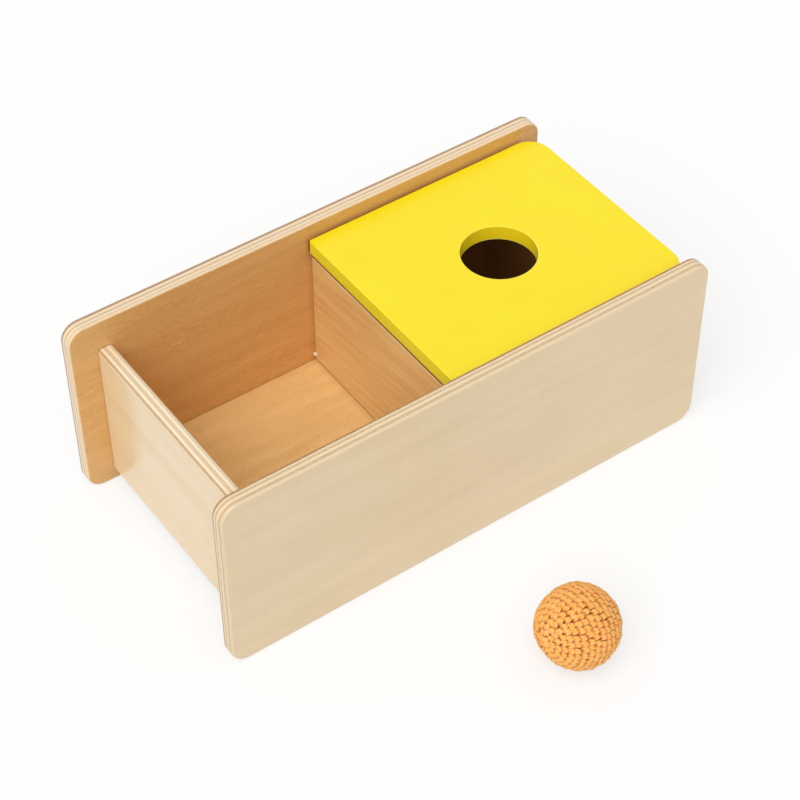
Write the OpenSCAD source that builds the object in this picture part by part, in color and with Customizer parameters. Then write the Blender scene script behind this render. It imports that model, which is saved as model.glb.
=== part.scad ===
// Wooden object permanence box: an open tray beside a covered half with a tipping lid,
// and a soft stuffed ball that is pushed through the hole in the lid.
// The set stands on z = 0, with its footprint centred on the origin and the lid towards +X.

/* [Side panels] */
// Length of the side panels
box_l = 305; // [260:1:380]
// Width of the box across both side panels
box_w = 156; // [110:1:220]
// Height of the side panels
side_h = 117.5; // [96:0.5:160]
// Thickness of the plywood panels
ply_t = 9; // [8:0.5:12]
// Corner radius of the side panels
corner_r = 10; // [4:0.5:20]
// Radius sanded on the edges of the panels
edge_r = 2.2; // [0.4:0.1:3]

/* [Cross panels] */
// Height of the floor's and end panels' undersides above the table
foot_gap = 7.5; // [2:0.5:12]
// Set-back of the tray's end panel from the side panels' ends
tray_inset = 16; // [10:0.5:40]
// Set-back of the end panel under the lid from the side panels' ends
lid_end_inset = 28; // [28:0.5:40]
// Middle of the divider, measured from the middle of the box
divider_x = 1; // [-30:0.5:20]
// Gap between the divider's top and the closed lid
divider_gap = 5.8; // [0.3:0.1:10]

/* [Lid] */
// Thickness of the lid
lid_t = 9.5; // [8:0.5:12]
// Depth of the closed lid's top below the side panels' tops
lid_recess = 8.7; // [0:0.1:25]
// Overhang of the lid's front edge past the divider
lid_overhang = 2.5; // [0:0.1:5]
// Set-back of the lid's rear edge from the side panels' ends
lid_rear_inset = 4.5; // [0:0.5:10]
// Clearance between the lid and each side panel
lid_side_gap = 1.8; // [0.4:0.1:2.5]
// Clearance between the closed lid and the end panels' tops
lid_seat_gap = 0.3; // [0.1:0.1:0.8]
// Radius of the lid's two rear corners, seen from above
lid_corner_r = 13; // [4:0.5:13]
// Radius of the lid's upper front and rear edges
lid_top_r = 0.5; // [0.2:0.1:1]
// Radius of the lid's lower front and rear edges
lid_foot_r = 1.4; // [0.2:0.1:2]
// Diameter of the ball hole
hole_d = 42; // [30:0.5:60]
// Middle of the ball hole, measured back from the lid's front edge
hole_setback = 77.8; // [50:0.1:90]
// Radius of the ball hole's two rims
hole_rim_r = 0.3; // [0.2:0.1:1.5]

/* [Lid pivot] */
// Diameter of the pivot pins
pin_d = 5; // [3:0.1:6]
// Length of the pivot pins
pin_l = 20; // [14:0.5:30]
// Reach of the pivot pins into the side panels
pin_reach = 6; // [4:0.5:7]
// Pivot axis, measured in from the lid's rear edge
pivot_setback = 16; // [16:0.5:22]
// Radial clearance of the pivot pins in the side panels
pin_clear = 0.08; // [0.02:0.01:0.1]

/* [Dowels] */
// Diameter of the dowels
dowel_d = 5; // [3:0.5:6]
// Length of the dowels
dowel_l = 24; // [16:1:40]
// Reach of the dowels into the side panels
dowel_reach = 6; // [4:0.5:7]
// Spacing of the two dowels at each end of a cross panel
dowel_pitch = 52; // [30:1:60]
// Distance of the outer floor dowels from the floor's ends
floor_dowel_inset = 22; // [8:1:40]
// Radial glue gap round a dowel
glue_gap = 0.04; // [0.02:0.01:0.1]

/* [Ball] */
// Diameter of the ball
ball_d = 45.5; // [35:0.5:60]
// Thickness of the ball's crocheted cover
cover_t = 2.5; // [1.5:0.1:4]
// Place of the ball along the box, measured from its middle
ball_x = -6; // [-100:0.5:100]
// Distance of the ball's middle in front of the near side panel
ball_ahead = 94.5; // [40:0.5:150]

/* [Hidden] */

// Smoothness of bores and of hulled corners
bore_fn = 64;
hull_fn = 32;
// Steps in a quarter round of a drawn profile
arc_steps = 8;
// Extra length by which a cut runs past the face that it opens
cut_over = 1;
// Depth left beyond the end of a pin or dowel in its hole
end_room = 0.5;
// Gap between the ball's stuffing and its cover
stuffing_gap = 0.1;

// Space between the side panels, and the box's place behind the ball
inner_w = box_w - 2 * ply_t;
box_y = (ball_ahead + ball_d / 2) / 2;

// Levels of the lid and the floor, and the heights of the end panels and the divider
lid_z = side_h - lid_recess - lid_t;
floor_top = foot_gap + ply_t;
end_h = lid_z - lid_seat_gap - foot_gap;
divider_h = lid_z - divider_gap - floor_top;

// Places of the cross panels' middles along the box
tray_end_x = -box_l / 2 + tray_inset + ply_t / 2;
lid_end_x = box_l / 2 - lid_end_inset - ply_t / 2;

// The floor's ends, which meet the two end panels
floor_x0 = tray_end_x + ply_t / 2;
floor_x1 = lid_end_x - ply_t / 2;

// The lid's front and rear edges, its width and its hole
lid_rear_x = box_l / 2 - lid_rear_inset;
lid_front_x = divider_x - ply_t / 2 - lid_overhang;
lid_l = lid_rear_x - lid_front_x;
lid_w = inner_w - 2 * lid_side_gap;
hole_x = lid_front_x + hole_setback;

// Pivot axis of the lid
pivot_x = lid_rear_x - pivot_setback;
pivot_z = lid_z + lid_t / 2;

// Middle heights of the walls' dowels and of the floor's dowels
end_mid_z = foot_gap + end_h / 2;
divider_mid_z = floor_top + divider_h / 2;
floor_mid_z = foot_gap + ply_t / 2;

// Dowel places as [x, z] for each joint
tray_end_spots = wall_spots(tray_end_x, end_mid_z);
lid_end_spots = wall_spots(lid_end_x, end_mid_z);
divider_spots = wall_spots(divider_x, divider_mid_z);
floor_spots = [
  [floor_x0 + floor_dowel_inset, floor_mid_z],
  [(floor_x0 + floor_x1) / 2, floor_mid_z],
  [floor_x1 - floor_dowel_inset, floor_mid_z]
];
all_spots = concat(tray_end_spots, lid_end_spots, divider_spots, floor_spots);

// Two dowel places, one above the other, in a cross panel
function wall_spots(x, mid_z) = [for (s = [-1, 1]) [x, mid_z + s * dowel_pitch / 2]];

// Quarter round from angle a to a + 90 about a centre
function quarter(cx, cy, r, a) =
  [for (i = [0 : arc_steps]) let (t = a + 90 * i / arc_steps) [cx + r * cos(t), cy + r * sin(t)]];

// The same points in the other order
function reversed(points) = [for (i = [len(points) - 1 : -1 : 0]) points[i]];

// Rectangle from [0, 0] to [w, h] with its own radius at each corner, from the lower left round
function rounded_outline(w, h, ll, lr, ur, ul) = concat(
  quarter(ll, ll, ll, 180),
  quarter(w - lr, lr, lr, 270),
  quarter(w - ur, h - ur, ur, 0),
  quarter(ul, h - ul, ul, 90)
);

// Moves the box's pieces behind the ball, so that the whole set is centred
module in_box() {
  translate([0, box_y, 0]) children();
}

// Draws a shape once on each side of the box, facing outwards
module both_sides() {
  for (s = [0, 1]) mirror([0, s, 0]) children();
}

// Round bar along Y from y0 to y1 at each [x, z] place
module bars(spots, d, y0, y1) {
  for (p = spots)
    translate([p.x, y0, p.y]) rotate([-90, 0, 0]) cylinder(d = d, h = y1 - y0, $fn = bore_fn);
}

// Strip of board across the box from a profile in X and Z, its first corner at [x, z]
module cross_strip(x, z, w, outline) {
  translate([x, w / 2, z]) rotate([90, 0, 0]) linear_extrude(w) polygon(outline);
}

// Disc with rounded edges that makes one corner of a side panel, its axis along Y
module corner_disc() {
  rotate([-90, 0, 0])
    rotate_extrude($fn = hull_fn)
      polygon(concat(
        [[0, 0]],
        quarter(corner_r - edge_r, edge_r, edge_r, 270),
        quarter(corner_r - edge_r, ply_t - edge_r, edge_r, 0),
        [[0, ply_t]]
      ));
}

// Side panel on the +Y side, with blind holes on its inner face for the dowels and the pivot pin
module side_panel() {
  corner_x = box_l / 2 - corner_r;
  difference() {
    translate([0, inner_w / 2, 0])
      hull()
        for (x = [-corner_x, corner_x], z = [corner_r, side_h - corner_r])
          translate([x, 0, z]) corner_disc();
    bars(all_spots, dowel_d + 2 * glue_gap, inner_w / 2 - cut_over, inner_w / 2 + dowel_reach + end_room);
    bars([[pivot_x, pivot_z]], pin_d + 2 * pin_clear,
      inner_w / 2 - cut_over, inner_w / 2 + pin_reach + end_room);
  }
}

// Holes in both ends of a cross panel for its dowels
module dowel_holes(spots) {
  depth = dowel_l - dowel_reach + end_room;
  both_sides() bars(spots, dowel_d + 2 * glue_gap, inner_w / 2 - depth, inner_w / 2 + cut_over);
}

// Dowels that stand half in a cross panel and half in the side panels
module dowels(spots) {
  y1 = inner_w / 2 + dowel_reach;
  both_sides() bars(spots, dowel_d, y1 - dowel_l, y1);
}

// End panel with all four long edges rounded
module end_panel(mid_x, spots) {
  difference() {
    cross_strip(mid_x - ply_t / 2, foot_gap, inner_w,
      rounded_outline(ply_t, end_h, edge_r, edge_r, edge_r, edge_r));
    dowel_holes(spots);
  }
}

// Cutter that rounds the lid's rear corner on the +Y side
module lid_corner_cutter() {
  mid_x = lid_rear_x - lid_corner_r;
  mid_y = lid_w / 2 - lid_corner_r;
  past_x = lid_rear_x + cut_over;
  past_y = lid_w / 2 + cut_over;
  translate([0, 0, lid_z - cut_over])
    linear_extrude(lid_t + 2 * cut_over)
      polygon(concat(
        quarter(mid_x, mid_y, lid_corner_r, 0),
        [[mid_x, past_y], [past_x, past_y], [past_x, mid_y]]
      ));
}

// Cutter for the ball hole: a straight bore that flares round both rims of the lid
module ball_hole_cutter() {
  flare_r = hole_d / 2 + hole_rim_r;
  rotate_extrude($fn = 2 * bore_fn)
    polygon(concat(
      [[0, -cut_over], [flare_r, -cut_over]],
      reversed(quarter(flare_r, hole_rim_r, hole_rim_r, 180)),
      reversed(quarter(flare_r, lid_t - hole_rim_r, hole_rim_r, 90)),
      [[flare_r, lid_t + cut_over], [0, lid_t + cut_over]]
    ));
}

module near_side_panel() {
  color("BurlyWood") in_box() mirror([0, 1, 0]) side_panel();
}

module far_side_panel() {
  color("BurlyWood") in_box() side_panel();
}

module tray_end_panel() {
  color("Wheat") in_box() end_panel(tray_end_x, tray_end_spots);
}

module lid_end_panel() {
  color("Wheat") in_box() end_panel(lid_end_x, lid_end_spots);
}

module divider() {
  color("Tan") in_box()
    difference() {
      cross_strip(divider_x - ply_t / 2, floor_top, inner_w,
        rounded_outline(ply_t, divider_h, 0, 0, edge_r, edge_r));
      dowel_holes(divider_spots);
    }
}

module floor_panel() {
  color("SandyBrown") in_box()
    difference() {
      translate([floor_x0, -inner_w / 2, foot_gap]) cube([floor_x1 - floor_x0, inner_w, ply_t]);
      dowel_holes(floor_spots);
    }
}

module lid() {
  depth = pin_l - pin_reach - lid_side_gap + end_room;
  color("Gold") in_box()
    difference() {
      cross_strip(lid_front_x, lid_z, lid_w,
        rounded_outline(lid_l, lid_t, lid_foot_r, lid_foot_r, lid_top_r, lid_top_r));
      both_sides() lid_corner_cutter();
      translate([hole_x, 0, lid_z]) ball_hole_cutter();
      both_sides() bars([[pivot_x, pivot_z]], pin_d, lid_w / 2 - depth, lid_w / 2 + cut_over);
    }
}

module lid_pivot_pins() {
  y1 = inner_w / 2 + pin_reach;
  color("Silver") in_box() both_sides() bars([[pivot_x, pivot_z]], pin_d, y1 - pin_l, y1);
}

module tray_end_dowels() {
  color("Bisque") in_box() dowels(tray_end_spots);
}

module lid_end_dowels() {
  color("Bisque") in_box() dowels(lid_end_spots);
}

module divider_dowels() {
  color("Bisque") in_box() dowels(divider_spots);
}

module floor_dowels() {
  color("Bisque") in_box() dowels(floor_spots);
}

// Places the ball's pieces at the middle of the ball, which rests on the table
module at_ball() {
  translate([ball_x, box_y - box_w / 2 - ball_ahead, ball_d / 2]) children();
}

module ball_cover() {
  color("Orange") at_ball()
    difference() {
      sphere(d = ball_d, $fn = bore_fn);
      sphere(d = ball_d - 2 * cover_t, $fn = bore_fn);
    }
}

module ball_stuffing() {
  color("Ivory") at_ball() sphere(d = ball_d - 2 * cover_t - 2 * stuffing_gap, $fn = bore_fn);
}

near_side_panel();
far_side_panel();
tray_end_panel();
lid_end_panel();
divider();
floor_panel();
lid();
lid_pivot_pins();
tray_end_dowels();
lid_end_dowels();
divider_dowels();
floor_dowels();
ball_cover();
ball_stuffing();
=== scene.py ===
"""Dressed model of an object permanence box: plywood boards, a painted tipping lid and a crocheted ball."""

import logging
import math
import random
from collections.abc import Callable, Sequence
from dataclasses import dataclass
from enum import Enum

import bpy
from mathutils import Matrix, Vector


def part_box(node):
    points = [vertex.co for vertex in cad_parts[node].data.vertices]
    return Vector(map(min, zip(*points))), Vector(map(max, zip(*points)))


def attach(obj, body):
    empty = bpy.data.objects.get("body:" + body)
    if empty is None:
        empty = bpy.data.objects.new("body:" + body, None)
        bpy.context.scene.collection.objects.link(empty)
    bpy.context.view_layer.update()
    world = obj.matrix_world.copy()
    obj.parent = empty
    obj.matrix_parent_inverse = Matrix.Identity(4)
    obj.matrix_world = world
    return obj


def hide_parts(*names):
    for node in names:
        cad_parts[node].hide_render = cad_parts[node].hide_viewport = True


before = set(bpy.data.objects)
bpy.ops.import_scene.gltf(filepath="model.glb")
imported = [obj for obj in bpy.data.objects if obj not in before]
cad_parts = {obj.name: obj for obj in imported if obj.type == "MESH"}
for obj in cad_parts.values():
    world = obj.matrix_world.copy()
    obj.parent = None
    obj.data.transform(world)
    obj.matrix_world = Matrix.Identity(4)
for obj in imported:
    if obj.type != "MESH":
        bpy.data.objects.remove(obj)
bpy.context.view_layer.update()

MM = 0.001
PORE_DEPTH = 0.04 * MM
GRAIN_STRETCH = 8
LOG = logging.getLogger("permanence_box")

Colour = tuple[float, float, float]


def srgb(red: int, green: int, blue: int) -> Colour:
    """Linear colour of an 8-bit display colour.

    Args:
        red: Red from 0 to 255.
        green: Green from 0 to 255.
        blue: Blue from 0 to 255.

    Returns:
        The three linear values that a shader takes.
    """
    shares = [value / 255 for value in (red, green, blue)]
    return tuple(s / 12.92 if s <= 0.04045 else ((s + 0.055) / 1.055) ** 2.4 for s in shares)


class Axis(Enum):
    """Axes of the box: along its length, across its width and up."""

    LENGTH = 0
    WIDTH = 1
    HEIGHT = 2


class Sock:
    """A node's output socket that takes part in arithmetic; each operator adds one Math node."""

    def __init__(self, sheet: "NodeSheet", socket: bpy.types.NodeSocket) -> None:
        """Wraps a socket of one sheet."""
        self.sheet = sheet
        self.socket = socket

    def _math(self, operation: str, *operands: "Sock | float") -> "Sock":
        """Adds a Math node with these operands."""
        return self.sheet.node("ShaderNodeMath", {"operation": operation}, dict(enumerate(operands)))

    def __add__(self, other: "Sock | float") -> "Sock":
        """Sum of two values."""
        return self._math("ADD", self, other)

    __radd__ = __add__

    def __sub__(self, other: "Sock | float") -> "Sock":
        """Difference of two values."""
        return self._math("SUBTRACT", self, other)

    def __rsub__(self, other: "Sock | float") -> "Sock":
        """Difference with the socket as the second value."""
        return self._math("SUBTRACT", other, self)

    def __mul__(self, other: "Sock | float") -> "Sock":
        """Product of two values."""
        return self._math("MULTIPLY", self, other)

    __rmul__ = __mul__

    def __truediv__(self, other: "Sock | float") -> "Sock":
        """Quotient of two values."""
        return self._math("DIVIDE", self, other)

    def __abs__(self) -> "Sock":
        """Size of the value without its sign."""
        return self._math("ABSOLUTE", self)

    def root(self) -> "Sock":
        """Square root of the value."""
        return self._math("SQRT", self)

    def sine(self) -> "Sock":
        """Sine of the value in radians."""
        return self._math("SINE", self)

    def larger(self, other: "Sock | float") -> "Sock":
        """The larger of two values."""
        return self._math("MAXIMUM", self, other)

    def rise(self, low: float, high: float) -> "Sock":
        """Smooth step from 0 at low to 1 at high, or the other way round where high is the smaller.

        Args:
            low: Value at which the step starts.
            high: Value at which the step ends.

        Returns:
            The step, from 0 to 1.
        """
        ends = {"Value": self, "From Min": low, "From Max": high}
        return self.sheet.node("ShaderNodeMapRange", {"interpolation_type": "SMOOTHSTEP"}, ends)

    def other(self, output: int | str) -> "Sock":
        """Another output of the same node."""
        return Sock(self.sheet, self.socket.node.outputs[output])


class NodeSheet:
    """The node tree of a material or a world, written as expressions."""

    def __init__(self, tree: bpy.types.NodeTree) -> None:
        """Takes a tree and clears it."""
        self.tree = tree
        self.tree.nodes.clear()

    @classmethod
    def for_material(cls, name: str) -> tuple["NodeSheet", bpy.types.Material]:
        """Starts a new material.

        Args:
            name: Name of the material.

        Returns:
            The empty sheet and its material.
        """
        material = bpy.data.materials.new(name)
        material.use_nodes = True
        return cls(material.node_tree), material

    def _add(self, kind: str, settings: dict[str, object], inputs: dict[int | str, object]) -> bpy.types.Node:
        """Adds a node, with its settings first and then its sockets.

        Args:
            kind: Type of the node.
            settings: Attributes of the node, with a colour ramp's stops under "stops".
            inputs: Value or link of each socket, by name or number.

        Returns:
            The new node.
        """
        made = self.tree.nodes.new(kind)
        for key, value in settings.items():
            if key == "stops":
                self._set_stops(made.color_ramp, value)
            else:
                setattr(made, key, value)
        for key, value in inputs.items():
            socket = made.inputs[key]
            if isinstance(value, Sock):
                self.tree.links.new(value.socket, socket)
            elif socket.type == "RGBA":
                socket.default_value = (*value, 1.0)
            else:
                socket.default_value = value
        return made

    def node(
        self,
        kind: str,
        settings: dict[str, object] | None = None,
        inputs: dict[int | str, object] | None = None,
        output: int | str = 0,
    ) -> Sock:
        """Adds a node and hands back one of its outputs.

        Args:
            kind: Type of the node.
            settings: Attributes of the node, with a colour ramp's stops under "stops".
            inputs: Value or link of each socket, by name or number.
            output: Output to hand back.

        Returns:
            The chosen output.
        """
        return Sock(self, self._add(kind, settings or {}, inputs or {}).outputs[output])

    @staticmethod
    def _set_stops(ramp: bpy.types.ColorRamp, stops: Sequence[tuple[float, Colour, float]]) -> None:
        """Gives a ramp its stops.

        Args:
            ramp: The ramp, which has two stops when it is new.
            stops: Place, colour and alpha of each stop, in rising order.
        """
        while len(ramp.elements) < len(stops):
            ramp.elements.new(1.0)
        for element, (place, colour, alpha) in zip(ramp.elements, stops):
            element.position = place
            element.color = (*colour, alpha)

    def place(self) -> tuple[Sock, Sock, Sock]:
        """Object coordinates in millimetres, one socket for each axis."""
        spot = self.node("ShaderNodeTexCoord", output="Object")
        x = self.node("ShaderNodeSeparateXYZ", inputs={0: spot})
        return tuple(part / MM for part in (x, x.other(1), x.other(2)))

    def facing(self, axis: Axis) -> Sock:
        """How squarely the surface faces along an axis, either way, from 0 to 1."""
        normal = self.node("ShaderNodeTexCoord", output="Normal")
        return abs(self.node("ShaderNodeSeparateXYZ", inputs={0: normal}, output=axis.value))

    def noise(self, spot: Sequence[Sock | float], detail: float = 2.0, roughness: float = 0.5) -> Sock:
        """Cloudy noise at a place.

        Args:
            spot: The three coordinates, each already divided by the grain's size there.
            detail: Number of finer layers.
            roughness: Weight of the finer layers.

        Returns:
            The noise, from 0 to 1 and 0.5 on average.
        """
        vector = self.node("ShaderNodeCombineXYZ", inputs=dict(enumerate(spot)))
        values = {"Vector": vector, "Scale": 1.0, "Detail": detail, "Roughness": roughness}
        return self.node("ShaderNodeTexNoise", inputs=values)

    def mix(self, share: Sock | float, first: Sock | Colour, second: Sock | Colour) -> Sock:
        """Blend of two colours.

        Args:
            share: Share of the second colour.
            first: Colour at a share of 0.
            second: Colour at a share of 1.

        Returns:
            The blended colour.
        """
        return self.node("ShaderNodeMix", {"data_type": "RGBA"}, {0: share, 6: first, 7: second}, output=2)

    def bump(self, height: Sock, depth: float) -> Sock:
        """Normal of a finely uneven surface.

        Args:
            height: Height from 0 to 1.
            depth: Depth in metres that a height of 1 stands for.

        Returns:
            The normal.
        """
        return self.node("ShaderNodeBump", inputs={"Strength": 1.0, "Distance": depth, "Height": height})

    def surface(self, **inputs: object) -> None:
        """Ends a material in one Principled shader.

        Args:
            inputs: Value or link of each socket, named in lower case with underscores.
        """
        titles = {key: key.replace("_", " ").title().replace("Ior", "IOR") for key in inputs}
        sockets = {titles[key]: value for key, value in inputs.items()}
        self.output(self.node("ShaderNodeBsdfPrincipled", inputs=sockets))

    def output(self, shader: Sock, kind: str = "ShaderNodeOutputMaterial") -> None:
        """Ends the tree in this shader."""
        self._add(kind, {}, {"Surface": shader})


@dataclass(frozen=True)
class Veneer:
    """Grain of one face of a board, in display colours and in millimetres."""

    pale: Colour
    deep: Colour
    fleck: Colour
    streak_wide: float = 9.0
    streak_long: float = 150.0
    hair_wide: float = 1.1
    slant: float = 0.0
    swirl: float = 0.0
    streaks: float = 0.35
    hairs: float = 0.25
    clouds: float = 0.5
    flecks: float = 0.25
    figure: float = 0.0
    wave_size: tuple[float, float] = (34.0, 26.0)
    hair_long: float = 38.0
    fleck_size: tuple[float, float] = (5.0, 0.6)
    cloud_size: tuple[float, float] = (55.0, 40.0)
    figure_size: tuple[float, float] = (48.0, 17.0)
    figure_lines: float = 85.0

    def paint(self, sheet: NodeSheet, along: Sock, across: Sock, seed: float) -> tuple[Sock, Sock]:
        """Draws the grain.

        Args:
            sheet: The material's sheet.
            along: Millimetres along the grain.
            across: Millimetres across the grain.
            seed: Number that sets this board's own pattern.

        Returns:
            The colour, and the height of the pores from 0 to 1.
        """
        wave = sheet.noise((along / self.wave_size[0], across / self.wave_size[1], seed), detail=1.5)
        line = across + along * self.slant + (wave - 0.5) * self.swirl
        streak = sheet.noise((along / self.streak_long, line / self.streak_wide, seed), detail=4.0)
        hair = sheet.noise((along / self.hair_long, line / self.hair_wide, seed + 3), detail=2.0)
        speck = sheet.noise((along / self.fleck_size[0], line / self.fleck_size[1], seed + 7), detail=1.0)
        fleck = speck.rise(0.66, 0.78)
        cloud = sheet.noise((along / self.cloud_size[0], across / self.cloud_size[1], seed + 11), detail=2.0)
        tone = 0.5 + (streak - 0.5) * (2.2 * self.streaks) + (hair - 0.5) * self.hairs
        tone = tone + (cloud - 0.5) * self.clouds
        wood = sheet.mix(tone.rise(0.0, 1.0), self.pale, self.deep)
        wood = sheet.mix(fleck * self.flecks, wood, self.fleck)
        if self.figure:
            rise = (along / self.figure_size[0], across / self.figure_size[1], seed + 19)
            hill = sheet.noise(rise, detail=3.0, roughness=0.6)
            curl = (hill * self.figure_lines).sine().rise(0.8, 1.0) * cloud.rise(0.36, 0.52)
            wood = sheet.mix(curl * self.figure, wood, self.pale)
        return wood, hair * 0.6 - fleck * 0.4


class Wood(Enum):
    """Faces that the boards have."""

    PALE = Veneer(
        srgb(241, 217, 178), srgb(228, 201, 158), srgb(190, 154, 112), streaks=0.45, hairs=0.4, flecks=0.35
    )
    COOL = Veneer(
        srgb(239, 217, 181), srgb(226, 203, 164), srgb(186, 152, 110), streaks=0.3, hairs=0.3, flecks=0.3
    )
    WARM = Veneer(
        srgb(233, 186, 120), srgb(212, 158, 92), srgb(158, 104, 54),
        swirl=10.0, streaks=0.4, hairs=0.6, flecks=0.45, figure=0.75,
    )
    FLOOR = Veneer(
        srgb(243, 207, 144), srgb(226, 185, 118), srgb(170, 118, 64),
        streak_wide=7.0, streak_long=60.0, swirl=12.0, streaks=0.5, hairs=0.35, flecks=0.55, figure=0.4,
    )
    STRAIGHT = Veneer(
        srgb(243, 205, 141), srgb(221, 175, 108), srgb(160, 108, 58),
        streak_wide=3.2, streak_long=70.0, hair_wide=0.8, slant=0.12, swirl=3.0,
        streaks=0.6, hairs=0.5, flecks=0.3,
    )


@dataclass(frozen=True)
class Lay:
    """How a board lies: the axis through it, its grain, its outer face and the way in from there.

    Its seams are the planes, by axis and place, where another board meets it.
    """

    through: Axis
    grain: Axis
    outer: float
    inward: int
    seams: tuple[tuple[Axis, float], ...] = ()

    @property
    def across(self) -> Axis:
        """The axis in the board's plane that crosses the grain."""
        return next(axis for axis in Axis if axis not in (self.through, self.grain))


@dataclass(frozen=True)
class PaintedShade:
    """Painted shade on a board's inner face where the lid covers it or shades it.

    Each pair is the start and end of a soft step, in millimetres from the face of the frame it is taken from.
    """

    beside_front: tuple[float, float] = (0.4, 1.1)
    beside_rear: tuple[float, float] = (11.5, -0.5)
    beside_top: tuple[float, float] = (-1.4, -2.0)
    beside_foot: tuple[float, float] = (-0.7, 0.1)
    chamber_front: tuple[float, float] = (-0.9, -0.1)
    chamber_rear: tuple[float, float] = (2.5, 1.5)
    chamber_top: tuple[float, float] = (0.7, -0.3)
    above_front: tuple[float, float] = (-2.0, 2.0)
    above_share: float = 0.22

    @staticmethod
    def _step(spot: Sock, face: float, ends: tuple[float, float]) -> Sock:
        """Soft step between two distances from a face of the frame."""
        return spot.rise(*(face / MM + end for end in ends))

    def share(self, x: Sock, z: Sock) -> Sock:
        """How much painted shade a place takes: beside the lid, in the chamber under it or above it.

        Args:
            x: Millimetres along the box.
            z: Millimetres up from the table.

        Returns:
            The share, from 0 to 1.
        """
        lid_low, lid_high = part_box("lid")
        wall_low, wall_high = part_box("lid_end_panel")
        divider_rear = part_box("divider")[1].x
        # Painted shadow in the gap beside the lid, painted shade in the chamber under it and a lighter painted
        # shade above it.
        beside = self._step(x, lid_low.x, self.beside_front) * self._step(x, wall_high.x, self.beside_rear)
        beside = beside * self._step(z, lid_high.z, self.beside_top) * self._step(z, lid_low.z, self.beside_foot)
        chamber = self._step(x, divider_rear, self.chamber_front) * self._step(x, wall_low.x, self.chamber_rear)
        chamber = chamber * self._step(z, lid_low.z, self.chamber_top)
        above = self._step(x, lid_low.x, self.above_front) * self.above_share
        return beside.larger(chamber).larger(above)


@dataclass(frozen=True)
class Plywood:
    """Plywood with sanded edges, a satin clear coat and painted shade on its inner face around the lid.

    Its bands are the layers from the outer face in, each with its thickness in millimetres and its darkness.
    """

    outer: Veneer = Wood.PALE.value
    inner: Veneer = Wood.WARM.value
    bands: tuple[tuple[float, float], ...] = (
        (1.3, 0.1), (1.2, 0.8), (1.4, 0.0), (1.2, 0.7), (1.4, 0.0), (1.2, 0.8), (1.3, 0.1)
    )
    light: Colour = srgb(244, 222, 187)
    dark: Colour = srgb(208, 174, 132)
    mottle: Colour = srgb(168, 126, 86)
    # Dark colour of the joints between boards, and of the painted shade around the lid.
    joint_and_shade: Colour = srgb(146, 92, 46)
    glue_line: float = 0.14
    outer_skin: float = 0.6
    inner_skin: float = 0.35
    roughness: float = 0.34
    gloss: float = 0.5
    seam: float = 0.75
    seam_wide: tuple[float, float] = (0.7, 0.2)
    painted_shade: PaintedShade = PaintedShade()
    shaded: float = 0.85
    ripple: float = 0.4
    ripple_size: float = 25.0
    blotch_size: float = 1.8
    blotch_thick: float = 0.7
    mottled: float = 0.7
    wear: float = 0.15

    def _stops(self) -> list[tuple[float, Colour, float]]:
        """Place from 0 to 1, colour and darkness at both sides of each layer."""
        total = sum(thick for thick, _ in self.bands)
        stops, start = [], 0.0
        for thick, darkness in self.bands:
            colour = tuple(a + (b - a) * darkness for a, b in zip(self.light, self.dark))
            for place in (start + self.glue_line, start + thick - self.glue_line):
                stops.append((place / total, colour, darkness))
            start += thick
        return stops

    def material(self, name: str, lay: Lay, seed: float) -> bpy.types.Material:
        """Makes the material of one board.

        Args:
            name: Name of the material.
            lay: How the board lies.
            seed: Number that sets this board's own pattern.

        Returns:
            The material.
        """
        sheet, material = NodeSheet.for_material(name)
        spot = sheet.place()
        along, across = spot[lay.grain.value], spot[lay.across.value]
        thick = sum(band[0] for band in self.bands)
        ripple = sheet.noise((along / self.ripple_size, across / self.ripple_size, seed + 17), detail=2.0) - 0.5
        depth = (spot[lay.through.value] - lay.outer / MM) * lay.inward
        layer = (depth + ripple * self.ripple) / thick
        edge = sheet.node("ShaderNodeValToRGB", {"stops": self._stops()}, {0: layer})
        darkness = edge.other(1)
        speck = (along / self.blotch_size, across / self.blotch_size, depth / self.blotch_thick + seed)
        blotch = sheet.noise(speck, detail=3.0, roughness=0.6)
        edge = sheet.mix(darkness * blotch.rise(0.42, 0.75) * self.mottled, edge, self.mottle)
        outer, outer_pores = self.outer.paint(sheet, along, across, seed)
        inner, inner_pores = self.inner.paint(sheet, along, across, seed + 31)
        # Painted shade: the inner face darkens beside, under and above the lid.
        inner = sheet.mix(self.painted_shade.share(spot[0], spot[2]) * self.shaded, inner, self.joint_and_shade)
        on_outer = depth.rise(self.outer_skin + 0.1, self.outer_skin - 0.15)
        on_inner = depth.rise(thick - self.inner_skin, thick - 0.15)
        colour = sheet.mix(on_inner, sheet.mix(on_outer, edge, outer), inner)
        for axis, place in lay.seams:
            seam = abs(spot[axis.value] - place / MM).rise(*self.seam_wide)
            colour = sheet.mix(seam * self.seam, colour, self.joint_and_shade)
        pores = outer_pores * on_outer + inner_pores * on_inner + blotch * darkness * 0.5
        sheet.surface(
            base_color=colour,
            roughness=self.roughness + ripple * self.wear,
            normal=sheet.bump(pores, PORE_DEPTH),
            specular_ior_level=self.gloss,
        )
        return material


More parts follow.
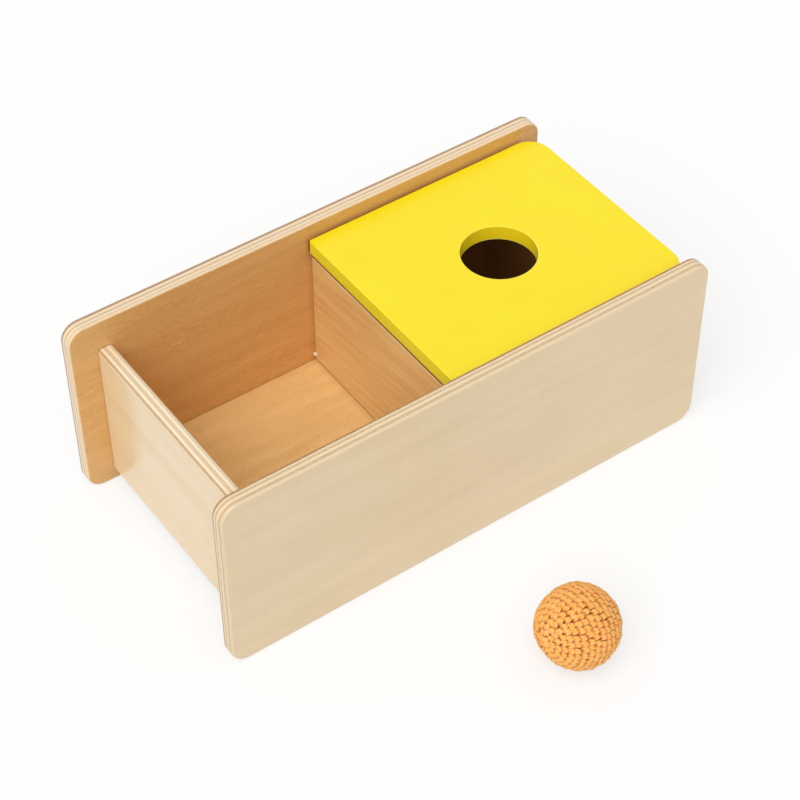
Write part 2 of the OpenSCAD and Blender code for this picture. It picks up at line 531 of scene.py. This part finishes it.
class Board(Enum):
    """Plywood of each board, with its layers as they show on the edges."""

    # The last, darkest band is partly the ply's own colour and partly painted shade on the inner rounding.
    NEAR_SIDE = Plywood(
        outer=Wood.COOL.value,
        bands=((1.25, 0.15), (1.75, 0.52), (1.6, 0.0), (1.45, 0.5), (0.95, 0.0), (2.0, 1.1)),
        light=srgb(236, 214, 178), dark=srgb(190, 150, 98), mottle=srgb(148, 108, 72),
        outer_skin=0.25, inner_skin=0.2,
    )
    FAR_SIDE = Plywood(
        bands=((1.3, 0.8), (1.2, 1.0), (1.6, 0.0), (1.3, 0.45), (1.4, 0.0), (0.7, 0.4), (1.5, 0.1)),
        light=srgb(240, 215, 180), dark=srgb(180, 145, 108), mottle=srgb(150, 114, 82),
    )
    # The last, dark band is partly the ply's own colour and partly painted shade on the inner rounding.
    TRAY_END = Plywood(
        bands=((0.3, 0.2), (1.1, 0.85), (1.5, 0.0), (2.0, 0.45), (1.5, 0.0), (0.7, 0.45), (0.9, 0.2), (1.0, 0.8)),
        light=srgb(248, 228, 193), dark=srgb(188, 150, 106), outer_skin=0.3, roughness=0.18, gloss=0.8,
    )
    LID_END = Plywood()
    # The divider's dark core band is painted shade: it darkens its top edge the way the lid's shadow does.
    DIVIDER = Plywood(
        outer=Wood.STRAIGHT.value, inner=Wood.STRAIGHT.value, bands=((0.7, 0.0), (7.6, 1.0), (0.7, 0.0)),
        dark=srgb(172, 122, 54), mottle=srgb(150, 100, 46), outer_skin=0.4,
    )
    FLOOR = Plywood(inner=Wood.FLOOR.value, seam=0.4)


@dataclass(frozen=True)
class Paint:
    """Satin paint, rolled on and slightly uneven, with painted highlights on the hole's rims, a painted lighter
    wall in the hole and a painted greener light on the lid's front.

    Its pairs are starts and ends of soft steps in millimetres: from the lid's front, or from the hole's wall
    or middle.
    """

    colour: Colour = srgb(248, 226, 14)
    thin: Colour = srgb(247, 223, 10)
    # Painted light: a greener copy of the paint for the lid's front face, standing in for cooler light there.
    edge: Colour = srgb(240, 230, 44)
    # Painted light: a brighter, redder copy of the paint for the hole's wall.
    wall: Colour = srgb(255, 226, 30)
    # Painted highlight along the hole's top rim, stronger on its near side, and along its lower rim.
    rim_highlight: Colour = srgb(255, 246, 140)
    roughness: float = 0.36
    front_depth: tuple[float, float] = (18.0, 14.0)
    wall_edge: tuple[float, float] = (0.1, 0.02)
    rim_inner: tuple[float, float] = (0.02, 0.15)
    rim_outer: tuple[float, float] = (0.5, 0.35)
    rim_near: tuple[float, float] = (6.0, -10.0)
    rim_foot: tuple[float, float] = (-3.9, -4.3)
    rim_least: float = 0.25
    rim_more: float = 0.6
    cloud_size: float = 30.0
    peel_size: float = 1.1
    grain_size: tuple[float, float] = (1.4, 45.0)
    peel_depth: float = 0.05 * MM

    def material(self, name: str, hole: Vector, radius: float) -> bpy.types.Material:
        """Makes the paint's material.

        Args:
            name: Name of the material.
            hole: Middle of the hole.
            radius: Radius of the hole.

        Returns:
            The material.
        """
        sheet, material = NodeSheet.for_material(name)
        x, y, z = sheet.place()
        aside, ahead = x - hole.x / MM, y - hole.y / MM
        reach = (aside * aside + ahead * ahead).root() - radius / MM
        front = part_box("lid")[0].x / MM
        # Painted highlight on the hole's rims.
        lit = ahead.rise(*self.rim_near) * self.rim_more + self.rim_least
        top_rim_highlight = reach.rise(*self.rim_inner) * reach.rise(*self.rim_outer) * lit
        # Painted light on the hole's wall.
        on_wall = reach.rise(*self.wall_edge)
        foot_rim_highlight = on_wall * z.rise(*(hole.z / MM + end for end in self.rim_foot))
        # Painted light: the lid's front face takes the greener copy of the paint.
        front_light_tint = sheet.facing(Axis.LENGTH).rise(0.6, 0.95) * x.rise(*(front + end for end in self.front_depth))
        cloud = sheet.noise([part / self.cloud_size for part in (x, y, z)], detail=3.0)
        peel = sheet.noise([part / self.peel_size for part in (x, y, z)], detail=2.0)
        wide, long = self.grain_size
        grain = sheet.noise((x / wide, y / long, z / wide), detail=2.0)
        coat = sheet.mix(cloud.rise(0.3, 0.7), self.colour, self.thin)
        coat = sheet.mix(front_light_tint, coat, self.edge)
        coat = sheet.mix(on_wall, coat, self.wall)
        sheet.surface(
            base_color=sheet.mix(top_rim_highlight.larger(foot_rim_highlight), coat, self.rim_highlight),
            roughness=self.roughness + (peel - 0.5) * 0.12,
            normal=sheet.bump(peel * 0.6 + grain * 0.4, self.peel_depth),
            specular_ior_level=0.5,
        )
        return material


@dataclass(frozen=True)
class Yarn:
    """Soft cotton yarn of a few twisted strands, seen along each stitch's own map, with painted shade in the
    grooves between strands and at each leg's tucked end.
    """

    colour: Colour = srgb(251, 182, 92)
    worn: Colour = srgb(254, 196, 112)
    groove_shade: Colour = srgb(226, 140, 56)
    tuck_shade: Colour = srgb(178, 94, 22)
    strands: int = 3
    turns: float = 2.0
    groove_shade_weight: float = 0.35
    tuck_shade_span: tuple[float, float] = (0.76, 0.54)
    tint_size: float = 3.0
    fuzz_size: float = 0.25
    twist_depth: float = 0.1 * MM

    def material(self, name: str) -> bpy.types.Material:
        """Makes the yarn's material under this name."""
        sheet, material = NodeSheet.for_material(name)
        spread = sheet.node("ShaderNodeTexCoord", output="UV")
        around = sheet.node("ShaderNodeSeparateXYZ", inputs={0: spread})
        twist = (around * self.strands + around.other(1) * 2 * self.turns) * math.tau
        strand = twist.sine() * 0.5 + 0.5
        spot = sheet.place()
        tint = sheet.noise([part / self.tint_size for part in spot], detail=2.0)
        fuzz = sheet.noise([part / self.fuzz_size for part in spot], detail=2.0)
        colour = sheet.mix(tint.rise(0.35, 0.7), self.colour, self.worn)
        # Painted shade in the grooves between the twisted strands.
        colour = sheet.mix((1 - strand).rise(0.6, 1.0) * self.groove_shade_weight, colour, self.groove_shade)
        # Painted shade at the end of each leg where it tucks under.
        colour = sheet.mix(around.other(1).rise(*self.tuck_shade_span), colour, self.tuck_shade)
        sheet.surface(
            base_color=colour,
            roughness=0.85 + (fuzz - 0.5) * 0.2,
            normal=sheet.bump(strand * 0.6 + fuzz * 0.4, self.twist_depth),
            specular_ior_level=0.15,
            sheen_weight=0.25,
            sheen_roughness=0.5,
        )
        return material


class Grained(Enum):
    """Plain finishes of the small pieces: two colours, roughness, metallic share and grain size in mm."""

    DOWEL = (srgb(226, 196, 150), srgb(206, 172, 124), 0.6, 0.0, 0.8)
    STEEL = (srgb(206, 207, 209), srgb(182, 183, 186), 0.32, 1.0, 0.5)
    FIBRE = (srgb(244, 242, 236), srgb(228, 224, 214), 0.95, 0.0, 1.5)
    GLUE = (srgb(250, 248, 240), srgb(240, 235, 222), 0.3, 0.0, 1.0)
    # The lining's darker orange is painted shade for the gaps between stitches.
    SHADED_UNDERSIDE = (srgb(184, 104, 34), srgb(160, 86, 24), 0.95, 0.0, 1.2)

    def material(self) -> bpy.types.Material:
        """Makes the material, with its grain drawn out along the box's width."""
        light, dark, roughness, metallic, grain = self.value
        sheet, material = NodeSheet.for_material(self.name.lower())
        x, y, z = sheet.place()
        cloud = sheet.noise((x / grain, y / (GRAIN_STRETCH * grain), z / grain), detail=3.0)
        sheet.surface(
            base_color=sheet.mix(cloud.rise(0.3, 0.7), light, dark),
            roughness=roughness + (cloud - 0.5) * 0.1,
            metallic=metallic,
            normal=sheet.bump(cloud, PORE_DEPTH),
        )
        return material


class Bench:
    """The modelling bench: one piece at a time is added, shaped in edit mode and finished."""

    @staticmethod
    def clear() -> None:
        """Lets go of everything that is selected."""
        bpy.ops.object.select_all(action="DESELECT")

    @staticmethod
    def take(piece: bpy.types.Object) -> None:
        """Makes one piece the only selected and active one."""
        Bench.clear()
        piece.select_set(True)
        bpy.context.view_layer.objects.active = piece

    @staticmethod
    def named(name: str) -> bpy.types.Object:
        """Names the new primitive, settles its place and size in its mesh, and hands it back."""
        piece = bpy.context.object
        piece.name = name
        piece.data.name = name
        bpy.ops.object.transform_apply(location=True, rotation=True, scale=True)
        return piece

    @staticmethod
    def block(name: str, low: Vector, high: Vector) -> bpy.types.Object:
        """Adds a squared board.

        Args:
            name: Name of the piece.
            low: Lowest corner.
            high: Highest corner.

        Returns:
            The new object.
        """
        Bench.clear()
        bpy.ops.mesh.primitive_cube_add(size=1.0, location=(low + high) / 2, scale=high - low)
        return Bench.named(name)

    @staticmethod
    def pick(piece: bpy.types.Object, chosen: Callable[[Vector, Vector], bool]) -> None:
        """Selects the edges that a test picks by their two ends, and nothing else.

        Args:
            piece: The piece.
            chosen: Test on an edge's two ends.
        """
        Bench.take(piece)
        mesh = piece.data
        for group in (mesh.vertices, mesh.edges, mesh.polygons):
            group.foreach_set("select", [False] * len(group))
        for edge in mesh.edges:
            edge.select = chosen(*(mesh.vertices[i].co for i in edge.vertices))
        bpy.context.tool_settings.mesh_select_mode = (False, True, False)

    @staticmethod
    def round_edges(
        piece: bpy.types.Object, chosen: Callable[[Vector, Vector], bool], radius: float, steps: int
    ) -> None:
        """Rounds the edges that a test picks by their two ends.

        Args:
            piece: The piece.
            chosen: Test on an edge's two ends.
            radius: Radius of the rounding.
            steps: Number of faces in the rounding.
        """
        Bench.pick(piece, chosen)
        bpy.ops.object.mode_set(mode="EDIT")
        bpy.ops.mesh.bevel(offset=radius, segments=steps, profile=0.5, affect="EDGES")
        bpy.ops.object.mode_set(mode="OBJECT")

    @staticmethod
    def cut(piece: bpy.types.Object, cutter: bpy.types.Object) -> None:
        """Cuts one piece out of another and throws the cutter away."""
        Bench.take(piece)
        knife = piece.modifiers.new("cut", "BOOLEAN")
        knife.object = cutter
        knife.solver = "EXACT"
        bpy.ops.object.modifier_apply(modifier=knife.name)
        bpy.data.objects.remove(cutter)

    @staticmethod
    def smooth(piece: bpy.types.Object, angle: float = 40.0) -> None:
        """Shades the roundings smoothly and keeps the broad faces flat.

        Args:
            piece: The piece.
            angle: Largest angle in degrees that is shaded as smooth.
        """
        Bench.take(piece)
        bpy.ops.object.shade_smooth_by_angle(angle=math.radians(angle))
        level = piece.modifiers.new("level", "WEIGHTED_NORMAL")
        level.keep_sharp = True
        bpy.ops.object.modifier_apply(modifier=level.name)

    @staticmethod
    def join(pieces: Sequence[bpy.types.Object]) -> bpy.types.Object:
        """Joins several objects into the first one and hands it back."""
        Bench.clear()
        for piece in pieces:
            piece.select_set(True)
        bpy.context.view_layer.objects.active = pieces[0]
        bpy.ops.object.join()
        return pieces[0]


def near(value: float, target: float) -> bool:
    """Whether two lengths in metres are the same to a hundredth of a millimetre."""
    return abs(value - target) < 0.01 * MM


def dress(piece: bpy.types.Object, *materials: bpy.types.Material) -> None:
    """Gives a piece these materials and no others."""
    piece.data.materials.clear()
    for material in materials:
        piece.data.materials.append(material)


def hand_over(piece: bpy.types.Object, body: str, slot: str, *nodes: str) -> None:
    """Puts a finished piece on its body in place of the CAD nodes that it stands for.

    Args:
        piece: The finished piece.
        body: Body that it moves with.
        slot: Material slot of the record; not used.
        nodes: CAD nodes that it replaces.
    """
    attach(piece, body)
    if nodes:
        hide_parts(*nodes)
    LOG.info("%s: %d faces, on %s", piece.name, len(piece.data.polygons), body)


@dataclass(frozen=True)
class SidePanel:
    """A long side of the box: a board with round corners and sanded edges."""

    node: str
    outer_is_low: bool
    seed: float
    finish: Board
    corner_radius: float = 10 * MM
    edge_radius: float = 1.4 * MM
    corner_steps: int = 12
    edge_steps: int = 6

    def build(self) -> bpy.types.Object:
        """Models the board in its node's place."""
        low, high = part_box(self.node)
        board = Bench.block(self.node + "_board", low, high)
        Bench.round_edges(board, lambda a, b: abs(a.y - b.y) > MM, self.corner_radius, self.corner_steps)
        Bench.round_edges(
            board,
            lambda a, b: near(a.y, b.y) and (near(a.y, low.y) or near(a.y, high.y)),
            self.edge_radius,
            self.edge_steps,
        )
        Bench.smooth(board)
        return board

    def dress(self, board: bpy.types.Object) -> None:
        """Gives the board its plywood, pale outside and warm inside."""
        low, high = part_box(self.node)
        outer = low.y if self.outer_is_low else high.y
        lay = Lay(Axis.WIDTH, Axis.LENGTH, outer, 1 if self.outer_is_low else -1)
        dress(board, self.finish.value.material(self.node + "_plywood", lay, self.seed))
        hand_over(board, "box", "plywood", self.node)


@dataclass(frozen=True)
class CrossPanel:
    """A board across the box: an end panel with four round edges, or the divider with two."""

    node: str
    outer_is_low: bool
    seed: float
    slot: str
    finish: Board
    round_foot: bool = True
    edge_radius: float = 2.2 * MM
    edge_steps: int = 6
    end_radius: float = 0.35 * MM
    end_steps: int = 2

    def build(self) -> bpy.types.Object:
        """Models the board in its node's place, with its ends eased where they meet the sides."""
        low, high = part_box(self.node)
        board = Bench.block(self.node + "_board", low, high)
        foot = low.z - MM if self.round_foot else low.z + MM
        Bench.round_edges(
            board,
            lambda a, b: abs(a.y - b.y) > MM and near(a.z, b.z) and a.z > foot,
            self.edge_radius,
            self.edge_steps,
        )
        Bench.round_edges(board, lambda a, b: abs(a.z - b.z) > 10 * MM, self.end_radius, self.end_steps)
        Bench.smooth(board)
        return board

    def dress(self, board: bpy.types.Object) -> None:
        """Gives the board its plywood, with the grain across the box."""
        low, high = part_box(self.node)
        outer = low.x if self.outer_is_low else high.x
        seams = [(Axis.WIDTH, low.y), (Axis.WIDTH, high.y)]
        if not self.round_foot:
            seams.append((Axis.HEIGHT, low.z))
        lay = Lay(Axis.LENGTH, Axis.WIDTH, outer, 1 if self.outer_is_low else -1, tuple(seams))
        dress(board, self.finish.value.material(self.node + "_plywood", lay, self.seed))
        hand_over(board, "box", self.slot, self.node)


@dataclass(frozen=True)
class Floor:
    """The board that closes the box below, with its upper edges eased where it meets the walls."""

    node: str = "floor_panel"
    seed: float = 47.0
    edge_radius: float = 0.35 * MM
    edge_steps: int = 2

    def build(self) -> bpy.types.Object:
        """Models the board in its node's place."""
        low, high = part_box(self.node)
        board = Bench.block(self.node + "_board", low, high)
        Bench.round_edges(
            board, lambda a, b: near(a.z, high.z) and near(b.z, high.z), self.edge_radius, self.edge_steps
        )
        Bench.smooth(board)
        return board

    def dress(self, board: bpy.types.Object) -> None:
        """Gives the floor its plywood, warm above and pale below."""
        low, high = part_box(self.node)
        seams = ((Axis.WIDTH, low.y), (Axis.WIDTH, high.y), (Axis.LENGTH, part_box("divider")[0].x))
        lay = Lay(Axis.HEIGHT, Axis.LENGTH, low.z, 1, seams)
        dress(board, Board.FLOOR.value.material(self.node + "_plywood", lay, self.seed))
        hand_over(board, "box", "floor_ply", self.node)


@dataclass(frozen=True)
class GlueBead:
    """A bead of dried glue in the corner between the divider and the far side."""

    beside: str = "divider"
    above_foot: float = 4.0 * MM
    into_corner: float = 0.4 * MM
    radii: tuple[float, float, float] = (0.9, 1.3, 1.2)

    def build(self) -> bpy.types.Object:
        """Models the bead at the foot of the divider's front."""
        low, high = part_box(self.beside)
        spot = (low.x - self.into_corner, high.y - self.into_corner, low.z + self.above_foot)
        Bench.clear()
        bpy.ops.mesh.primitive_ico_sphere_add(subdivisions=3, radius=MM, location=spot, scale=self.radii)
        bead = Bench.named("glue_bead")
        bpy.ops.object.shade_smooth()
        return bead

    def dress(self, bead: bpy.types.Object) -> None:
        """Gives the bead its finish."""
        dress(bead, Grained.GLUE.material())
        hand_over(bead, "box", "divider_wood")


@dataclass(frozen=True)
class Lid:
    """The painted lid: a board with two round rear corners and a hole for the ball.

    Each rounding is its radius and its number of faces.
    """

    node: str = "lid"
    rear_corner: tuple[float, int] = (13 * MM, 20)
    front_corner: tuple[float, int] = (1.5 * MM, 5)
    top_edge: tuple[float, int] = (0.5 * MM, 3)
    foot_edge: tuple[float, int] = (1.4 * MM, 5)
    rim_edge: tuple[float, int] = (0.5 * MM, 3)
    hole_diameter: float = 42 * MM
    hole_setback: float = 77.8 * MM
    hole_sides: int = 128
    smooth_angle: float = 30.0

    def build(self) -> bpy.types.Object:
        """Models the lid in its node's place."""
        low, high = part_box(self.node)
        board = Bench.block("lid_board", low, high)
        for end, rounding in ((high.x, self.rear_corner), (low.x, self.front_corner)):
            Bench.round_edges(board, lambda a, b: abs(a.z - b.z) > MM and near(a.x, end), *rounding)
        for level, rounding in ((high.z, self.top_edge), (low.z, self.foot_edge)):
            Bench.round_edges(board, lambda a, b: near(a.z, level) and near(b.z, level), *rounding)
        middle = self._hole(low, high)
        Bench.clear()
        bpy.ops.mesh.primitive_cylinder_add(
            vertices=self.hole_sides, radius=self.hole_diameter / 2, depth=2 * (high.z - low.z), location=middle
        )
        Bench.cut(board, Bench.named("hole_cutter"))
        Bench.round_edges(board, lambda a, b: self._is_rim(a, b, middle, low, high), *self.rim_edge)
        Bench.smooth(board, self.smooth_angle)
        return board

    def _hole(self, low: Vector, high: Vector) -> Vector:
        """Middle of the hole in a lid between these two corners."""
        return Vector((low.x + self.hole_setback, (low.y + high.y) / 2, (low.z + high.z) / 2))

    def _is_rim(self, a: Vector, b: Vector, middle: Vector, low: Vector, high: Vector) -> bool:
        """Whether an edge lies on the hole's upper or lower rim."""
        level = near(a.z, b.z) and (near(a.z, low.z) or near(a.z, high.z))
        reach = [math.hypot(end.x - middle.x, end.y - middle.y) for end in (a, b)]
        return level and all(abs(r - self.hole_diameter / 2) < 0.1 * MM for r in reach)

    def dress(self, board: bpy.types.Object) -> None:
        """Gives the lid its paint."""
        dress(board, Paint().material("lid_paint", self._hole(*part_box(self.node)), self.hole_diameter / 2))
        hand_over(board, "lid", "lid_paint", self.node)


@dataclass(frozen=True)
class Ball:
    """The stuffed ball with its cover of single crochet, worked in a spiral from pole to pole.

    Its dents are places, as directions from its middle, where the stuffing has settled. Each of a stitch's two
    legs has the place of its top and of its foot along the row, and its drop below the row, as shares.
    """

    node: str = "ball_cover"
    pole: tuple[float, float, float] = (-0.987, -0.055, 0.151)
    stitch_wide: float = 3.7 * MM
    row_high: float = 3.5 * MM
    row_shift: float = -0.23
    stitch_long: float = 1.42
    yarn_radius: float = 1.08 * MM
    legs: tuple[tuple[float, float, float], ...] = ((-0.31, -0.12, -0.05), (0.31, 0.12, 0.05))
    crest: float = 0.62
    tuck: float = 1.25 * MM
    tuck_power: float = 1.6
    top_thick: float = 0.5
    swell_power: float = 0.9
    foot_taper: float = 0.9
    foot_sink: float = 0.35 * MM
    rings: int = 9
    sides: int = 8
    lining_depth: float = 2.5 * MM
    dents: tuple[tuple[float, float, float], ...] = ((-0.286, 0.822, 0.493), (-0.870, -0.007, -0.493))
    dent_depth: float = 0.9 * MM
    dent_spread: float = 0.16
    fewest: int = 5
    stray: float = 0.3 * MM
    lean: float = 13.0
    growth: tuple[float, float] = (0.92, 1.06)
    lining_steps: int = 4
    table_gap: float = 0.02 * MM
    fill: float = 0.95
    seed: int = 7

    def _leg(self, name: str, top: float, foot: float, drop: float) -> bpy.types.Object:
        """Models one leg of a stitch: a plump length of yarn that is tucked under at its top.

        Args:
            name: Name of the leg.
            top: Place of its upper end along the row, as a share of a stitch.
            foot: Place of its lower end along the row, as a share of a stitch.
            drop: How far it hangs below the row, as a share of a row.

        Returns:
            The leg, lying along +Y with the ball's outside at +Z.
        """
        half = self.stitch_long * self.row_high / 2
        Bench.clear()
        bpy.ops.mesh.primitive_cylinder_add(
            vertices=self.sides, radius=self.yarn_radius, depth=2 * half, rotation=(-math.pi / 2, 0, 0)
        )
        leg = Bench.named(name)
        Bench.pick(leg, lambda a, b: abs(a.y - b.y) > half)
        bpy.ops.object.mode_set(mode="EDIT")
        bpy.ops.mesh.subdivide(number_cuts=self.rings - 2)
        bpy.ops.object.mode_set(mode="OBJECT")
        for ring in range(self.rings):
            share = ring / (self.rings - 1)
            level = half * (2 * share - 1)
            swell, sink = self._form(share)
            aside = (top + (foot - top) * share) * self.stitch_wide
            Bench.pick(leg, lambda a, b: near(a.y, level) and near(b.y, level))
            bpy.ops.object.mode_set(mode="EDIT")
            bpy.ops.transform.resize(value=(swell, 1.0, swell), center_override=(0, level, 0))
            bpy.ops.transform.translate(value=(aside, 0, -sink - self.yarn_radius))
            bpy.ops.object.mode_set(mode="OBJECT")
        leg.data.transform(Matrix.Translation((0, drop * self.row_high, 0)))
        return leg

    def _form(self, share: float) -> tuple[float, float]:
        """Form of a leg at one place.

        Args:
            share: Place as a share of its length from the top.

        Returns:
            Its thickness as a share, and how far it is sunk.
        """
        if share < self.crest:
            climb = share / self.crest
            swell = math.sin(math.pi / 2 * climb) ** self.swell_power
            return self.top_thick + (1 - self.top_thick) * swell, self.tuck * (1 - climb) ** self.tuck_power
        fall = (share - self.crest) / (1 - self.crest)
        return math.sqrt(1 - self.foot_taper * fall**2), self.foot_sink * fall**2

    def _reach(self, way: Vector, radius: float) -> float:
        """Distance of the cover from the ball's middle in a direction, less at the dents."""
        closeness = (math.exp((way.dot(Vector(dent)) - 1) / self.dent_spread) for dent in self.dents)
        return radius - self.dent_depth * sum(closeness)

    def _spots(self, radius: float) -> list[Matrix]:
        """Places of the stitches along the spiral.

        Args:
            radius: Radius of the ball.

        Returns:
            One matrix for each stitch, turned so that its foot points away from the first pole.
        """
        draw = random.Random(self.seed)
        pole = Vector(self.pole).normalized()
        side = pole.orthogonal().normalized()
        other = pole.cross(side)
        rows = round(math.pi * radius / self.row_high)
        spots = []
        for row in range(rows):
            girth = math.tau * math.sin((row + 0.5) * math.pi / rows) * radius
            count = max(self.fewest, round(girth / self.stitch_wide))
            for index in range(count):
                fall = (row + index / count) * math.pi / rows
                turn = math.tau * (index + self.row_shift * row) / count
                outward = math.cos(turn) * side + math.sin(turn) * other
                normal = math.cos(fall) * pole + math.sin(fall) * outward
                away = math.cos(fall) * outward - math.sin(fall) * pole
                facing = Matrix((away.cross(normal), away, normal)).transposed().to_4x4()
                stray = Vector(draw.uniform(-1, 1) * self.stray for _ in range(3))
                lean = Matrix.Rotation(math.radians(draw.uniform(-self.lean, self.lean)), 4, "Z")
                grow = Matrix.Scale(draw.uniform(*self.growth), 4)
                spot = Matrix.Translation(normal * self._reach(normal, radius) + stray)
                spots.append(spot @ facing @ lean @ grow)
        return spots

    def build(self) -> bpy.types.Object:
        """Models the lining and works the stitches over it."""
        low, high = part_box(self.node)
        middle = (low + high) / 2
        radius = (high.z - low.z) / 2
        stitch = Bench.join([self._leg(f"stitch_leg_{index}", *leg) for index, leg in enumerate(self.legs)])
        Bench.clear()
        bpy.ops.mesh.primitive_ico_sphere_add(subdivisions=self.lining_steps, radius=radius - self.lining_depth)
        pieces = [Bench.named("ball_crochet")]
        # The lining takes the painted shade of the gaps between stitches, and the stitches take the yarn.
        finishes = (Grained.SHADED_UNDERSIDE.material(), Yarn().material("ball_yarn"))
        for piece in (stitch, pieces[0]):
            dress(piece, *finishes)
        stitch.data.polygons.foreach_set("material_index", [1] * len(stitch.data.polygons))
        for spot in self._spots(radius):
            mesh = stitch.data.copy()
            mesh.transform(spot)
            copy = bpy.data.objects.new("stitch_copy", mesh)
            bpy.context.scene.collection.objects.link(copy)
            pieces.append(copy)
        bpy.data.objects.remove(stitch)
        ball = Bench.join(pieces)
        ball.data.transform(Matrix.Translation(middle))
        for vertex in ball.data.vertices:
            vertex.co.z = max(vertex.co.z, low.z + self.table_gap)
        Bench.take(ball)
        bpy.ops.object.shade_smooth()
        return ball

    def dress(self, ball: bpy.types.Object) -> None:
        """Hands the ball over; its yarn was put on as it was worked."""
        hand_over(ball, "ball", "ball_yarn", self.node)


@dataclass(frozen=True)
class Fittings:
    """Pieces of the frame that lie hidden in the boards and in the ball."""

    finishes: tuple[tuple[str, Grained], ...] = (
        ("lid_pivot_pins", Grained.STEEL),
        ("tray_end_dowels", Grained.DOWEL),
        ("lid_end_dowels", Grained.DOWEL),
        ("divider_dowels", Grained.DOWEL),
        ("floor_dowels", Grained.DOWEL),
        ("ball_stuffing", Grained.FIBRE),
    )

    def dress(self) -> None:
        """Gives each hidden piece its finish."""
        for node, finish in self.finishes:
            dress(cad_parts[node], finish.material())
            LOG.info("%s: dressed", node)


@dataclass(frozen=True)
class Studio:
    """Pale floor, soft light and the camera at the photographed angle."""

    azimuth: float = -35.189
    elevation: float = 45.838
    roll: float = -0.192
    eye: tuple[float, float, float] = (-0.47235, -0.620575, 0.88996)
    focal_pixels: float = 2176.2
    frame_pixels: float = 800.0
    sensor: float = 36.0
    sky: float = 0.6
    lamp_from: tuple[float, float, float] = (-0.52, -0.35, 0.78)
    lamp_strength: float = 1.8
    lamp_spread: float = 55.0
    floor_size: float = 12.0
    floor_grey: float = 0.72
    floor_white: float = 0.95
    floor_glow: float = 0.6

    def place_camera(self) -> None:
        """Adds the camera at the photographed angle."""
        turn, climb, roll = (math.radians(a) for a in (self.azimuth, self.elevation, self.roll))
        back = Vector((math.sin(turn) * math.cos(climb), -math.cos(turn) * math.cos(climb), math.sin(climb)))
        right = Vector((math.cos(turn), math.sin(turn), 0.0))
        up = back.cross(right)
        level = Matrix((right, up, back)).transposed().to_4x4()
        data = bpy.data.cameras.new("camera")
        data.sensor_width = self.sensor
        data.lens = self.sensor * self.focal_pixels / self.frame_pixels
        camera = bpy.data.objects.new("camera", data)
        camera.matrix_world = Matrix.Translation(self.eye) @ level @ Matrix.Rotation(roll, 4, "Z")
        bpy.context.scene.collection.objects.link(camera)
        bpy.context.scene.camera = camera

    @staticmethod
    def _seen(sheet: NodeSheet) -> Sock:
        """Whether a ray is seen straight from the camera, in a reflection or through glass."""
        rays = sheet.node("ShaderNodeLightPath", output="Is Camera Ray")
        return rays.larger(rays.other("Is Glossy Ray")).larger(rays.other("Is Transmission Ray"))

    def light(self) -> None:
        """Adds the soft sky and one broad lamp from the front left."""
        world = bpy.data.worlds.new("studio")
        world.use_nodes = True
        sheet = NodeSheet(world.node_tree)
        strength = self.sky + self._seen(sheet) * (1 - self.sky)
        sky = sheet.node("ShaderNodeBackground", inputs={"Color": (1.0, 1.0, 1.0), "Strength": strength})
        sheet.output(sky, "ShaderNodeOutputWorld")
        bpy.context.scene.world = world
        lamp = bpy.data.lights.new("key", "SUN")
        lamp.energy = self.lamp_strength
        lamp.angle = math.radians(self.lamp_spread)
        key = bpy.data.objects.new("key", lamp)
        key.matrix_world = Vector(self.lamp_from).to_track_quat("Z", "Y").to_matrix().to_4x4()
        bpy.context.scene.collection.objects.link(key)

    def lay_floor(self) -> None:
        """Adds the pale floor, white to the eye but for the object's soft shadow."""
        Bench.clear()
        bpy.ops.mesh.primitive_plane_add(size=self.floor_size)
        floor = Bench.named("studio_floor")
        sheet, material = NodeSheet.for_material("studio_floor")
        matt = sheet.node("ShaderNodeBsdfDiffuse", inputs={"Color": (self.floor_grey,) * 3})
        glow = sheet.node("ShaderNodeEmission", inputs={"Color": (1.0, 1.0, 1.0), "Strength": 1.0})
        white = sheet.node("ShaderNodeBsdfDiffuse", inputs={"Color": (self.floor_white,) * 3})
        shown = sheet.node("ShaderNodeMixShader", inputs={0: self.floor_glow, 1: white, 2: glow})
        sheet.output(sheet.node("ShaderNodeMixShader", inputs={0: self._seen(sheet), 1: matt, 2: shown}))
        dress(floor, material)

    def build(self) -> None:
        """Sets up the whole studio."""
        bpy.context.scene.view_settings.view_transform = "Standard"
        self.place_camera()
        self.light()
        self.lay_floor()


def main() -> None:
    """Builds the studio and each sub-assembly in order, and reports each piece."""
    logging.basicConfig(level=logging.INFO, format="%(message)s")
    Studio().build()
    pieces = [
        SidePanel("near_side_panel", True, 5.0, Board.NEAR_SIDE),
        SidePanel("far_side_panel", False, 13.0, Board.FAR_SIDE),
        CrossPanel("tray_end_panel", True, 23.0, "plywood", Board.TRAY_END),
        CrossPanel("lid_end_panel", False, 29.0, "plywood", Board.LID_END),
        CrossPanel("divider", True, 37.0, "divider_wood", Board.DIVIDER, round_foot=False, edge_radius=0.7 * MM),
        GlueBead(),
        Floor(),
        Lid(),
        Ball(),
    ]
    for piece in pieces:
        piece.dress(piece.build())
    Fittings().dress()


if __name__ == "__main__":
    main()
